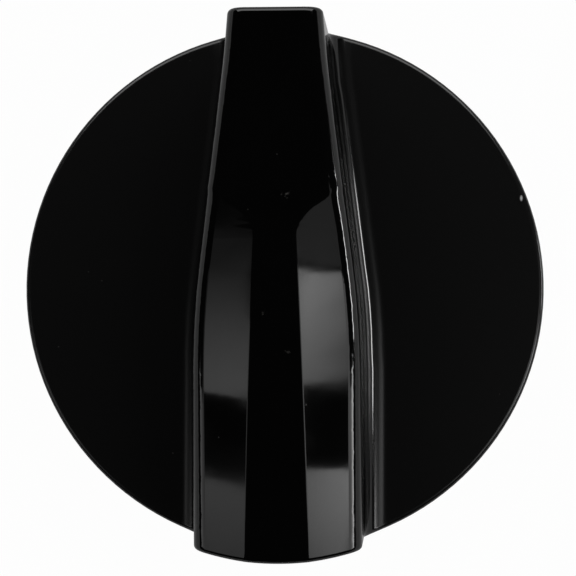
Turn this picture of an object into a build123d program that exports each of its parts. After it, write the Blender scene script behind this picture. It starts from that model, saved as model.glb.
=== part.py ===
from build123d import *
from math import cos, hypot, radians, sin, sqrt
import os

# A range control knob: a round skirt with a tapered grip bar across it, moulded in one piece, that
# pushes onto a D-shaped shaft, and the spring band that tightens its split stem.
# Millimetres. The shaft's axis is Z, the knob stands on its rim at Z = 0 and the pointer is at +Y.

# Skirt: the round base
skirt_diameter = 51.0
skirt_height = 10.0
skirt_wall = 2.0
skirt_draft = 0.5  # degrees
deck_thickness = 2.2
nose_flat_depth = 0.5  # flat across the rim at the pointer end
nose_blend_radius = 10.0  # from that flat into the round rim
edge_radius = 0.5  # along the rim and round the bar's ends

# Grip bar, with its widths where it meets the deck
tail_width = 15.8
knee_offset = 3.1  # where the sides turn in, from the shaft's axis towards the tail
neck_width = 9.8
neck_setback = 4.9  # where they turn back, from the rim at the pointer
pointer_width = 9.05  # at the rim
side_radius = 80.0  # of the bends at the knee and the neck
grip_height = 17.4  # from the deck to the crest
grip_draft = 1.0  # degrees
grip_wall = 2.0
grip_end_wall = 2.6
grip_ceiling = 2.4  # under the crest
crest_offset = 11.0  # from the shaft's axis towards the pointer
crest_radius = 232.0  # lengthwise arch
base_radius = 2.2  # between the bar's sides and the deck
shoulder_radius = 1.6  # along the bar's top edges

# Cheeks: two sloping facets beside a flat strip, from the middle of the bar to its tail
strip_width = 3.9  # flat strip at the shaft's axis
strip_splay = 2.7  # degrees, each side, wider towards the tail
cheek_angle = 14.0  # degrees down from the strip
cheek_start = 4.2  # ahead of the shaft's axis
cheek_runout_radius = 9.0
cheek_runout_angle = 45.0  # degrees
crease_radius = 2.0

# Stem and socket
shaft_diameter = 6.35
shaft_flat_size = 4.75  # from the flat to the round side
shaft_clearance = 0.05
socket_depth = 15.0
socket_lead = 0.5
stem_diameter = 9.6
stem_recess = 0.6  # the stem's end is above the rim
slit_width = 1.2
slit_depth = 7.0
rib_thickness = 1.5
web_thickness = 5.0

# Spring band in its groove round the stem
band_height = 4.0
band_thickness = 0.6
band_gap_width = 4.0
band_corner_radius = 0.8
band_offset = 1.2  # from the stem's end
groove_depth = 0.4
groove_play = 0.1  # above and below the band
band_clearance = 0.03

skirt_radius = skirt_diameter / 2
stem_radius = stem_diameter / 2
socket_radius = shaft_diameter / 2 + shaft_clearance
deck_underside = skirt_height - deck_thickness
crest_height = skirt_height + grip_height
trim_allowance = base_radius  # blanks stand this far past the rim until they are trimmed to it
blank_length = 2 * (skirt_radius + trim_allowance)
blank_height = crest_height + grip_height


def arch_point(y, crest):
    """A point of the lengthwise arch: its distance along the bar and its height."""
    return (y, crest - crest_radius + sqrt(crest_radius**2 - (y - crest_offset) ** 2))


def under_arch(crest):
    """The region under the lengthwise arch, from the side."""
    with BuildSketch() as region:
        with BuildLine():
            arch = ThreePointArc(
                arch_point(-blank_length / 2, crest),
                arch_point(0, crest),
                arch_point(blank_length / 2, crest),
            )
            Polyline(arch @ 0, (-blank_length / 2, 0), (blank_length / 2, 0), arch @ 1)
        make_face()
    return region.sketch


def grip_outline(inset):
    """The bar's outline from above, longer than the knob and drawn in by inset."""
    knee = Vector(tail_width / 2 - inset, -knee_offset)
    neck = Vector(neck_width / 2 - inset, skirt_radius - neck_setback)
    nose = Vector(pointer_width / 2 - inset, skirt_radius)
    nose_way = (nose - neck) / neck_setback
    with BuildSketch() as outline:
        with BuildLine():
            side = FilletPolyline(
                (knee.X, -blank_length / 2),
                knee,
                neck,
                nose + nose_way * trim_allowance,
                radius=side_radius,
            )
            Line(side @ 0, (0, (side @ 0).Y))
            Line(side @ 1, (0, (side @ 1).Y))
            mirror(about=Plane.YZ)
        make_face()
    return outline.sketch


def looks_sideways(face):
    """Whether a face looks along X more than along Y or Z."""
    normal = face.normal_at()
    return abs(normal.X) > max(abs(normal.Y), abs(normal.Z))


def grip_bar(foot, inset):
    """The bar from the height foot upwards, its outline drawn in by inset there and by its draft above."""
    with BuildPart() as bar:
        with BuildSketch(Plane.XY.offset(foot)):
            add(grip_outline(inset))
        extrude(amount=blank_height)
        draft(bar.faces().filter_by(looks_sideways), Plane.XY.offset(foot), grip_draft)
    return bar.part


# The bar's roof: an arch with a cheek cut down each side of it
with BuildPart() as roof:
    with BuildSketch(Plane.YZ):
        add(under_arch(crest_height))
    extrude(amount=blank_length / 2, both=True)
    crease_way = Vector(-sin(radians(strip_splay)), cos(radians(strip_splay)), 0)
    level_way = Vector(crease_way.Y, -crease_way.X, 0)
    cheek_way = level_way * cos(radians(cheek_angle)) - Vector(0, 0, sin(radians(cheek_angle)))
    with BuildSketch(Plane((strip_width / 2, 0, crest_height), crease_way, cheek_way)):
        with BuildLine():
            run = ThreePointArc(
                arch_point(-blank_length, 0),
                arch_point(-blank_length / 2, 0),
                arch_point(cheek_start, 0),
            )
            runout = JernArc(run @ 1, run % 1, cheek_runout_radius, cheek_runout_angle)
            Polyline(runout @ 1, ((runout @ 1).X, grip_height), (-blank_length, grip_height), run @ 0)
        make_face()
    extrude(amount=blank_length, both=True, mode=Mode.SUBTRACT)
    mirror(about=Plane.YZ, mode=Mode.INTERSECT)
    strip = roof.faces().sort_by(Axis.Z)[-1]
    fillet(strip.edges().filter_by(GeomType.BSPLINE), crease_radius)

# The recess under the deck
with BuildPart() as recess:
    with BuildSketch():
        Circle(skirt_radius - skirt_wall)
    extrude(amount=deck_underside)

# What the moulding leaves empty: that recess and the hollow in the bar, less the stem, rib and web
with BuildPart() as core:
    add(grip_bar(deck_underside, grip_wall))
    with BuildSketch():
        Circle(skirt_radius - grip_end_wall)
    extrude(amount=blank_height, taper=skirt_draft, mode=Mode.INTERSECT)
    with BuildSketch(Plane.YZ):
        add(under_arch(crest_height - grip_ceiling))
    extrude(amount=blank_length / 2, both=True, mode=Mode.INTERSECT)
    with BuildSketch(Plane.XY.offset(deck_underside)):
        Rectangle(rib_thickness, blank_length)
        Rectangle(blank_length, web_thickness)
    extrude(amount=blank_height, mode=Mode.SUBTRACT)
    add(recess.part)
    with BuildSketch(Plane.XY.offset(stem_recess)):
        Circle(stem_radius)
    extrude(amount=blank_height, mode=Mode.SUBTRACT)

with BuildPart() as knob_body:
    # Grip bar
    add(grip_bar(skirt_height, 0))
    add(roof.part, mode=Mode.INTERSECT)
    shoulders = knob_body.faces().filter_by(looks_sideways).edges().filter_by(
        lambda edge: edge.bounding_box().min.Z > skirt_height + shoulder_radius
    )
    fillet(shoulders, shoulder_radius)

    # Deck, with the bar's foot faired into it
    with BuildSketch():
        Rectangle(blank_length, blank_length)
    extrude(amount=skirt_height)
    foot = knob_body.faces().filter_by(looks_sideways).edges().filter_by(
        lambda edge: abs(edge.center().X) < skirt_radius
    )
    fillet(foot.filter_by_position(Axis.Z, skirt_height, skirt_height), base_radius)

    # Trimmed to the skirt's drafted wall, which has a flat at the pointer
    with BuildSketch():
        Circle(skirt_radius)
        with Locations((0, skirt_radius - nose_flat_depth)):
            Rectangle(skirt_diameter, skirt_diameter, align=(Align.CENTER, Align.MIN), mode=Mode.SUBTRACT)
        fillet(vertices(), nose_blend_radius)
    extrude(amount=blank_height, taper=skirt_draft, mode=Mode.INTERSECT)
    wall = knob_body.faces().filter_by(
        lambda face: hypot(face.center().X, face.center().Y) > skirt_radius - skirt_wall
    )
    rim = wall.edges().filter_by(lambda edge: edge.bounding_box().min.Z > deck_underside)
    fillet(rim, edge_radius)

    # Hollow back, with the stem, rib and web left standing in it
    add(core.part, mode=Mode.SUBTRACT)

    # Shaft socket, its lead-in, and the slits that let the stem spring
    with BuildSketch(Plane.XY.offset(stem_recess)):
        Circle(socket_radius)
        with Locations((0, socket_radius - shaft_flat_size - 2 * shaft_clearance)):
            Rectangle(stem_diameter, stem_diameter, align=(Align.CENTER, Align.MAX), mode=Mode.SUBTRACT)
    extrude(amount=socket_depth, mode=Mode.SUBTRACT)
    mouth = knob_body.faces().filter_by_position(Axis.Z, stem_recess, stem_recess).face()
    chamfer(mouth.inner_wires().edges(), socket_lead)
    with BuildSketch(Plane.XY.offset(stem_recess)):
        Rectangle(stem_diameter, slit_width)
    extrude(amount=slit_depth, mode=Mode.SUBTRACT)

    # Groove for the spring band
    with BuildSketch(Plane.XY.offset(stem_recess + band_offset - groove_play)):
        Circle(stem_radius)
        Circle(stem_radius - groove_depth, mode=Mode.SUBTRACT)
    extrude(amount=band_height + 2 * groove_play, mode=Mode.SUBTRACT)

with BuildPart() as stem_spring:
    with BuildSketch(Plane.XY.offset(stem_recess + band_offset)):
        Circle(stem_radius - groove_depth + band_clearance + band_thickness)
        Circle(stem_radius - groove_depth + band_clearance, mode=Mode.SUBTRACT)
        Rectangle(band_gap_width, stem_diameter, align=(Align.CENTER, Align.MIN), mode=Mode.SUBTRACT)
    extrude(amount=band_height)
    corners = stem_spring.edges().filter_by(Axis.Y)
    fillet(corners, band_corner_radius)

knob_body.part.label = "knob_body"
stem_spring.part.label = "stem_spring"
os.makedirs("parts", exist_ok=True)
export_step(knob_body.part, "parts/knob_body.step")
export_step(stem_spring.part, "parts/stem_spring.step")
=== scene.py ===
from math import cos, pi, radians, sin
import bpy
from mathutils import Matrix, Vector

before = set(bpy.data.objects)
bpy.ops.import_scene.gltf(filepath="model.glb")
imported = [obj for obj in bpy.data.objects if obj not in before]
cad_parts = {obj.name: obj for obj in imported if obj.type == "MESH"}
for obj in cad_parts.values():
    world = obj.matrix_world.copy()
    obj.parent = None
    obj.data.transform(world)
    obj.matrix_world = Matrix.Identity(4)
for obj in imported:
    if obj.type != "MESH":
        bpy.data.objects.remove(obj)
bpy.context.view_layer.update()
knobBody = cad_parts["knob_body"]
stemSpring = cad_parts["stem_spring"]
mm = 0.001
print("frame loaded:", ", ".join(sorted(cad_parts)))


def addNode(tree, kind, inputs=None, **settings):
    made = tree.nodes.new(kind)
    for name, value in settings.items():
        setattr(made, name, value)
    for socket, value in (inputs or {}).items():
        if isinstance(value, bpy.types.NodeSocket):
            tree.links.new(value, made.inputs[socket])
        else:
            made.inputs[socket].default_value = value
    return made


def newMaterial(name):
    material = bpy.data.materials.new(name)
    material.use_nodes = True
    material.node_tree.nodes.clear()
    return material, material.node_tree


noiseMiddle = (0.3, 0.7)  # nearly all of a noise lies between these


def noise(tree, place, size, detail=2.0):
    made = addNode(tree, "ShaderNodeTexNoise", {"Vector": place, "Scale": 1 / size, "Detail": detail})
    return made.outputs["Fac"]


def remap(tree, value, fromLow, fromHigh, toLow, toHigh):
    made = addNode(tree, "ShaderNodeMapRange", {
        "Value": value, "From Min": fromLow, "From Max": fromHigh, "To Min": toLow, "To Max": toHigh,
    }, interpolation_type="SMOOTHSTEP")
    return made.outputs["Result"]


def combine(tree, operation, first, second):
    return addNode(tree, "ShaderNodeMath", {0: first, 1: second}, operation=operation).outputs[0]


def both(tree, first, second):
    return combine(tree, "MULTIPLY", first, second)


def below(tree, value, limit):
    return combine(tree, "LESS_THAN", value, limit)


def above(tree, value, limit):
    return combine(tree, "GREATER_THAN", value, limit)


def vectors(tree, operation, *inputs):
    return addNode(tree, "ShaderNodeVectorMath", dict(enumerate(inputs)), operation=operation).outputs


def grey(level):
    return (level, level, level, 1)


def mixColour(tree, factor, low, high):
    made = addNode(tree, "ShaderNodeMix", {0: factor, 6: low, 7: high}, data_type="RGBA")
    return made.outputs[2]


def mixNumber(tree, factor, low, high):
    made = addNode(tree, "ShaderNodeMix", {0: factor, 2: low, 3: high}, data_type="FLOAT")
    return made.outputs[0]


def lookFrom(place, aim, across):
    # local -Z looks from place to aim, and local X is as near to across as that allows
    back = (Vector(place) - Vector(aim)).normalized()
    right = Vector(across)
    right = (right - back * right.dot(back)).normalized()
    turned = Matrix((right, back.cross(right), back)).transposed().to_4x4()
    return Matrix.Translation(place) @ turned


# smooth shading: weld the edges that the faces share, keep the true corners sharp
shading = {"weld": 0.001 * mm, "cornerAngle": radians(25)}


def shadeSmooth(node):
    group = bpy.data.node_groups.new(node.name + "Shading", "GeometryNodeTree")
    group.interface.new_socket("Geometry", in_out="INPUT", socket_type="NodeSocketGeometry")
    group.interface.new_socket("Geometry", in_out="OUTPUT", socket_type="NodeSocketGeometry")
    source = addNode(group, "NodeGroupInput")
    welded = addNode(group, "GeometryNodeMergeByDistance",
                     {"Geometry": source.outputs[0], "Distance": shading["weld"]})
    angle = addNode(group, "GeometryNodeInputMeshEdgeAngle")
    isCorner = addNode(group, "FunctionNodeCompare",
                       {0: angle.outputs["Unsigned Angle"], 1: shading["cornerAngle"]},
                       operation="GREATER_THAN")
    soft = addNode(group, "GeometryNodeSetShadeSmooth",
                   {"Geometry": welded.outputs[0], "Shade Smooth": True})
    sharp = addNode(group, "GeometryNodeSetShadeSmooth",
                    {"Geometry": soft.outputs[0], "Selection": isCorner.outputs[0], "Shade Smooth": False},
                    domain="EDGE")
    addNode(group, "NodeGroupOutput", {0: sharp.outputs[0]})
    node.modifiers.new("shading", "NODES").node_group = group
    weighted = node.modifiers.new("weightedNormals", "WEIGHTED_NORMAL")
    weighted.keep_sharp = True


# black moulding: polished outside, a little hazy on the deck, dull inside, with dust and a pale spot on
# the rim
plastic = {
    "index": 1.5,
    "polished": {
        "darkest": 0.0008,
        "lightest": 0.0016,
        "mottleSize": 9 * mm,
        "roughLow": 0.04,
        "roughHigh": 0.08,
        "smearSize": 7 * mm,
    },
    "haze": {"colour": 0.0034, "rough": 0.24, "below": 12 * mm, "facing": (0.7, 0.98)},
    "inside": {
        "colour": 0.011,
        "rough": 0.48,
        "radius": 24.2 * mm,
        "below": 8.2 * mm,
        "inward": -0.5 * mm,
        "facingInward": 0.3,
        "facingDown": -0.5,
        "grainSize": 0.15 * mm,
        "grainHeight": 0.02 * mm,
    },
    "marksRough": 0.6,
    "dust": {
        "colour": (0.16, 0.155, 0.145, 1),
        "sparseSize": 2.6 * mm,
        "sparseReach": 0.035,
        "sparseAmount": 0.25,
        "ragged": (0.5, 2),
        "core": 0.3,  # share of a speck's reach
        "specks": [
            {"place": (1.02, 7.89, 27.3), "reach": 0.30 * mm, "amount": 0.30},
            {"place": (-1.08, -2.78, 26.95), "reach": 0.22 * mm, "amount": 0.12},
            {"place": (1.12, -6.17, 26.75), "reach": 0.28 * mm, "amount": 0.12},
        ],
    },
    # pale spot on the rim: painted lighter grey and made rougher
    "paleRimSpot": {
        "place": (23.25, 8.7, 10.0),
        "narrow": (2.2, 1, 1),
        "reach": 0.36 * mm,
        "core": 0.4,
        "colour": grey(0.4),
    },
    "cheekEnds": {"from": 4 * mm, "above": 23 * mm, "tilt": -0.02},
    "peel": {"size": 3 * mm, "height": 0.002 * mm, "facing": (0.6, 0.9)},
}


def blackPlastic():
    material, tree = newMaterial("glossyBlack")
    coords = addNode(tree, "ShaderNodeTexCoord")
    place, normal = coords.outputs["Object"], coords.outputs["Normal"]
    y, z = addNode(tree, "ShaderNodeSeparateXYZ", {0: place}).outputs[1:]
    sideways, lengthways, facing = addNode(tree, "ShaderNodeSeparateXYZ", {0: normal}).outputs

    # polished skin, uneven from flow and from fingers
    skin = plastic["polished"]
    mottle = noise(tree, place, skin["mottleSize"])
    smear = remap(tree, noise(tree, place, skin["smearSize"], detail=4), *noiseMiddle, 0, 1)
    colour = mixColour(tree, mottle, grey(skin["darkest"]), grey(skin["lightest"]))
    rough = remap(tree, smear, 0, 1, skin["roughLow"], skin["roughHigh"])

    # haze on the flat deck
    haze = plastic["haze"]
    onDeck = both(tree, below(tree, z, haze["below"]), remap(tree, facing, *haze["facing"], 0, 1))
    colour = mixColour(tree, onDeck, colour, grey(haze["colour"]))
    rough = mixNumber(tree, onDeck, rough, haze["rough"])

    # dull inside: the hollow back, and what faces down or towards the axis
    inner = plastic["inside"]
    level = vectors(tree, "MULTIPLY", place, (1, 1, 0))[0]
    radius = vectors(tree, "LENGTH", level)["Value"]
    outward = vectors(tree, "DOT_PRODUCT", level, normal)["Value"]
    inBack = both(tree, below(tree, z, inner["below"]), below(tree, radius, inner["radius"]))
    facesIn = both(tree, below(tree, outward, inner["inward"]), below(tree, facing, inner["facingInward"]))
    isInside = combine(tree, "MAXIMUM", inBack, facesIn)
    isInside = combine(tree, "MAXIMUM", isInside, below(tree, facing, inner["facingDown"]))
    colour = mixColour(tree, isInside, colour, grey(inner["colour"]))
    rough = mixNumber(tree, isInside, rough, inner["rough"])

    # sparse dust, and a few larger specks on the bar
    dust = plastic["dust"]
    cells = addNode(tree, "ShaderNodeTexVoronoi",
                    {"Vector": place, "Scale": 1 / dust["sparseSize"]}, feature="F1")
    dusty = remap(tree, cells.outputs["Distance"], dust["sparseReach"], 0, 0, dust["sparseAmount"])
    for speck in dust["specks"]:
        reach = speck["reach"]
        off = vectors(tree, "DISTANCE", place, Vector(speck["place"]) * mm)["Value"]
        edge = remap(tree, noise(tree, place, reach, detail=3), *noiseMiddle, *dust["ragged"])
        here = remap(tree, both(tree, off, edge), reach, reach * dust["core"], 0, speck["amount"])
        dusty = combine(tree, "MAXIMUM", dusty, here)
    colour = mixColour(tree, dusty, colour, dust["colour"])

    # pale spot painted on the rim in a lighter grey, rougher, longer than it is wide
    paleRimSpot = plastic["paleRimSpot"]
    away = vectors(tree, "SUBTRACT", place, Vector(paleRimSpot["place"]) * mm)[0]
    off = vectors(tree, "LENGTH", vectors(tree, "MULTIPLY", away, paleRimSpot["narrow"])[0])["Value"]
    onPaleRimSpot = remap(tree, off, paleRimSpot["reach"], paleRimSpot["reach"] * paleRimSpot["core"], 0, 1)
    colour = mixColour(tree, onPaleRimSpot, colour, paleRimSpot["colour"])
    rough = mixNumber(tree, combine(tree, "MAXIMUM", dusty, onPaleRimSpot), rough, plastic["marksRough"])

    # the cheeks' ends are eased, so that they read as part of the facets
    ends = plastic["cheekEnds"]
    onEnds = both(tree, above(tree, z, ends["above"]), above(tree, y, ends["from"]))
    eased = mixNumber(tree, onEnds, lengthways, combine(tree, "MAXIMUM", lengthways, ends["tilt"]))
    easedNormal = addNode(tree, "ShaderNodeCombineXYZ", {0: sideways, 1: eased, 2: facing}).outputs[0]
    skinNormal = vectors(tree, "NORMALIZE", easedNormal)[0]

    # faint peel on what faces up, a fine grain inside
    peel = plastic["peel"]
    peelHere = remap(tree, facing, *peel["facing"], 0, peel["height"])
    peelBump = both(tree, noise(tree, place, peel["size"]), peelHere)
    grain = both(tree, noise(tree, place, inner["grainSize"]), isInside)
    height = combine(tree, "ADD", peelBump, both(tree, grain, inner["grainHeight"]))
    bump = addNode(tree, "ShaderNodeBump", {
        "Height": height, "Strength": 1.0, "Distance": 1.0, "Normal": skinNormal,
    })
    shader = addNode(tree, "ShaderNodeBsdfPrincipled", {
        "Base Color": colour, "Roughness": rough, "IOR": plastic["index"], "Normal": bump.outputs[0],
    })
    addNode(tree, "ShaderNodeOutputMaterial", {"Surface": shader.outputs[0]})
    return material


# spring band: rolled strip, its grain running round the stem
steel = {
    "darkest": 0.32,
    "lightest": 0.55,
    "grainSize": 0.05 * mm,
    "grainLength": 4 * mm,
    "roughLow": 0.22,
    "roughHigh": 0.38,
}


def springSteel():
    material, tree = newMaterial("rolledSteel")
    place = addNode(tree, "ShaderNodeTexCoord").outputs["Object"]
    stretched = addNode(tree, "ShaderNodeMapping", {
        "Vector": place,
        "Scale": (1 / steel["grainLength"], 1 / steel["grainLength"], 1 / steel["grainSize"]),
    }, vector_type="POINT")
    grain = noise(tree, stretched.outputs[0], 1.0, detail=4)
    colour = mixColour(tree, grain, grey(steel["darkest"]), grey(steel["lightest"]))
    rough = remap(tree, grain, *noiseMiddle, steel["roughLow"], steel["roughHigh"])
    shader = addNode(tree, "ShaderNodeBsdfPrincipled", {
        "Base Color": colour, "Roughness": rough, "Metallic": 1.0,
    })
    addNode(tree, "ShaderNodeOutputMaterial", {"Surface": shader.outputs[0]})
    return material


for node, finish, slotName in (
    (knobBody, blackPlastic(), "black_plastic"),
    (stemSpring, springSteel(), "spring_steel"),
):
    node.data.materials.clear()
    node.data.materials.append(finish)
    shadeSmooth(node)
    print("finished", node.name, "with", finish.name)


# white floor with a faint shadow left on it, open under the knob and clear from below, so that the hollow
# back can be looked into
ground = {
    "reach": 2.0,
    "opening": 24.8 * mm,
    "corners": 96,
    "drop": 0.05 * mm,
    "colour": 0.5,
    "glow": 0.98,
    "glowInGloss": 0.15,
}


def whiteFloor():
    corners = ground["corners"]
    turns = [2 * pi * corner / corners for corner in range(corners)]
    points = [(reach * cos(turn), reach * sin(turn), -ground["drop"])
              for reach in (ground["opening"], ground["reach"]) for turn in turns]
    faces = [(corner, corner + corners, (corner + 1) % corners + corners, (corner + 1) % corners)
             for corner in range(corners)]
    mesh = bpy.data.meshes.new("floor")
    mesh.from_pydata(points, [], faces)
    floor = bpy.data.objects.new("floor", mesh)
    bpy.context.scene.collection.objects.link(floor)
    material, tree = newMaterial("floorWhite")
    path = addNode(tree, "ShaderNodeLightPath").outputs
    mirrored = combine(tree, "MAXIMUM", path["Is Glossy Ray"], path["Is Transmission Ray"])
    share = combine(tree, "MAXIMUM", both(tree, path["Is Camera Ray"], ground["glow"]),
                    both(tree, mirrored, ground["glowInGloss"]))
    matt = addNode(tree, "ShaderNodeBsdfDiffuse", {"Color": grey(ground["colour"])})
    white = addNode(tree, "ShaderNodeEmission", {"Strength": 1.0})
    topSide = addNode(tree, "ShaderNodeMixShader", {0: share, 1: matt.outputs[0], 2: white.outputs[0]})
    clear = addNode(tree, "ShaderNodeBsdfTransparent")
    underside = addNode(tree, "ShaderNodeNewGeometry").outputs["Backfacing"]
    oneSided = addNode(tree, "ShaderNodeMixShader",
                       {0: underside, 1: topSide.outputs[0], 2: clear.outputs[0]})
    addNode(tree, "ShaderNodeOutputMaterial", {"Surface": oneSided.outputs[0]})
    mesh.materials.append(material)


# room: pale at the horizon, dark overhead, by the height of a direction
room = {"horizon": 0.6, "overhead": 0.008, "paleUpTo": 0.02, "darkFrom": 0.2}


def darkRoom():
    world = bpy.data.worlds.new("room")
    bpy.context.scene.world = world
    world.use_nodes = True
    tree = world.node_tree
    tree.nodes.clear()
    way = addNode(tree, "ShaderNodeTexCoord").outputs["Generated"]
    up = addNode(tree, "ShaderNodeSeparateXYZ", {0: way}).outputs["Z"]
    glow = remap(tree, up, room["paleUpTo"], room["darkFrom"], room["horizon"], room["overhead"])
    path = addNode(tree, "ShaderNodeLightPath").outputs
    seen = combine(tree, "MAXIMUM", glow, path["Is Camera Ray"])
    sky = addNode(tree, "ShaderNodeBackground", {"Color": grey(1), "Strength": seen})
    addNode(tree, "ShaderNodeOutputWorld", {"Surface": sky.outputs[0]})


whiteFloor()
darkRoom()
print("floor and room ready")

# soft panels under a dark ceiling: the stretch that each covers across and along the bar, how bright it is
# at the two sides of it, and the share of that at its two ends
ceiling = 0.5
panels = {
    "rightNear": {
        "across": (0.225, 0.285), "along": (-0.012, -0.098),
        "glowAcross": (3.6, 1.4), "glowAlong": (1, 0.6),
    },
    "rightFar": {
        "across": (0.225, 0.285), "along": (-0.170, -0.285),
        "glowAcross": (1.7, 3.6), "glowAlong": (1, 0.4),
    },
    "rightBeside": {
        "across": (0.285, 0.42), "along": (-0.012, -0.30),
        "glowAcross": (1.3, 1.3), "glowAlong": (1, 1),
    },
    "rightInside": {
        "across": (0.17, 0.225), "along": (-0.012, -0.27),
        "glowAcross": (0.4, 2.0), "glowAlong": (1, 1),
    },
    "rightOuter": {
        "across": (0.42, 1.1), "along": (-0.12, -0.40),
        "glowAcross": (1.3, 9.0), "glowAlong": (1, 1),
    },
    "rightFringe": {
        "across": (0.20, 0.32), "along": (-0.006, 0.045),
        "glowAcross": (0.32, 0.32), "glowAlong": (1, 1),
    },
    "leftNear": {
        "across": (-0.285, -0.36), "along": (0.018, -0.112),
        "glowAcross": (1.2, 1.0), "glowAlong": (0.1, 1),
    },
    "leftFar": {
        "across": (-0.285, -0.36), "along": (-0.186, -0.285),
        "glowAcross": (0.9, 0.9), "glowAlong": (1, 0.6),
    },
    "leftBeside": {
        "across": (-0.36, -0.45), "along": (0.0, -0.30),
        "glowAcross": (0.7, 0.7), "glowAlong": (0.2, 1),
    },
    "leftInside": {
        "across": (-0.24, -0.285), "along": (-0.05, -0.27),
        "glowAcross": (0.3, 0.8), "glowAlong": (1, 1),
    },
    "leftOuter": {
        "across": (-0.45, -1.0), "along": (-0.125, -0.38),
        "glowAcross": (0.7, 1.5), "glowAlong": (1, 1),
    },
}


def hangPanel(name, panel):
    (x0, x1), (y0, y1) = panel["across"], panel["along"]
    points = [(x0, y0, ceiling), (x1, y0, ceiling), (x1, y1, ceiling), (x0, y1, ceiling)]
    mesh = bpy.data.meshes.new(name)
    mesh.from_pydata(points, [], [(0, 1, 2, 3)])
    material, tree = newMaterial(name + "Glow")
    place = addNode(tree, "ShaderNodeTexCoord").outputs["Object"]
    x, y = addNode(tree, "ShaderNodeSeparateXYZ", {0: place}).outputs[:2]
    glowAcross = remap(tree, x, x0, x1, *panel["glowAcross"])
    glowAlong = remap(tree, y, y0, y1, *panel["glowAlong"])
    lit = addNode(tree, "ShaderNodeEmission", {"Strength": both(tree, glowAcross, glowAlong)})
    addNode(tree, "ShaderNodeOutputMaterial", {"Surface": lit.outputs[0]})
    mesh.materials.append(material)
    hung = bpy.data.objects.new(name, mesh)
    bpy.context.scene.collection.objects.link(hung)
    hung.visible_camera = False


for name, panel in panels.items():
    hangPanel(name, panel)

# lamps: a small bright one low on the right, and a broad one behind the pointer
lamps = {
    "rightLow": {"place": (0.60, 0.05, 0.15), "length": 0.17, "width": 0.05, "radiance": 13.0},
    "rearBroad": {"place": (0.0, 0.75, 0.55), "length": 1.6, "width": 0.7, "radiance": 2.0},
}
lampAim = (0, 0, 0.02)
lampWatts = 4  # for each square metre of a lamp and unit of radiance


def hangLamp(name, lamp):
    made = bpy.data.lights.new(name, "AREA")
    made.shape = "RECTANGLE"
    made.size, made.size_y = lamp["length"], lamp["width"]
    made.energy = lampWatts * lamp["radiance"] * made.size * made.size_y
    hung = bpy.data.objects.new(name, made)
    bpy.context.scene.collection.objects.link(hung)
    x, y = lamp["place"][:2]
    hung.matrix_world = lookFrom(lamp["place"], lampAim, (-y, x, 0))
    hung.visible_camera = False


for name, lamp in lamps.items():
    hangLamp(name, lamp)
print("lit by", len(panels), "panels and", len(lamps), "lamps")

# camera, nearly straight above
camera = {
    "place": Vector((8.35, -5.34, 197.3)) * mm,
    "aim": Vector((0.45, 0.01, 10)) * mm,
    "roll": radians(0.19),
    "lens": 119.7,
    "sensor": 36,
}
cameraData = bpy.data.cameras.new("camera")
cameraData.lens = camera["lens"]
cameraData.sensor_width = camera["sensor"]
cameraObject = bpy.data.objects.new("camera", cameraData)
bpy.context.scene.collection.objects.link(cameraObject)
cameraAcross = (cos(camera["roll"]), -sin(camera["roll"]), 0)
cameraObject.matrix_world = lookFrom(camera["place"], camera["aim"], cameraAcross)
bpy.context.scene.camera = cameraObject
bpy.context.scene.view_settings.view_transform = "Standard"
print("camera set")
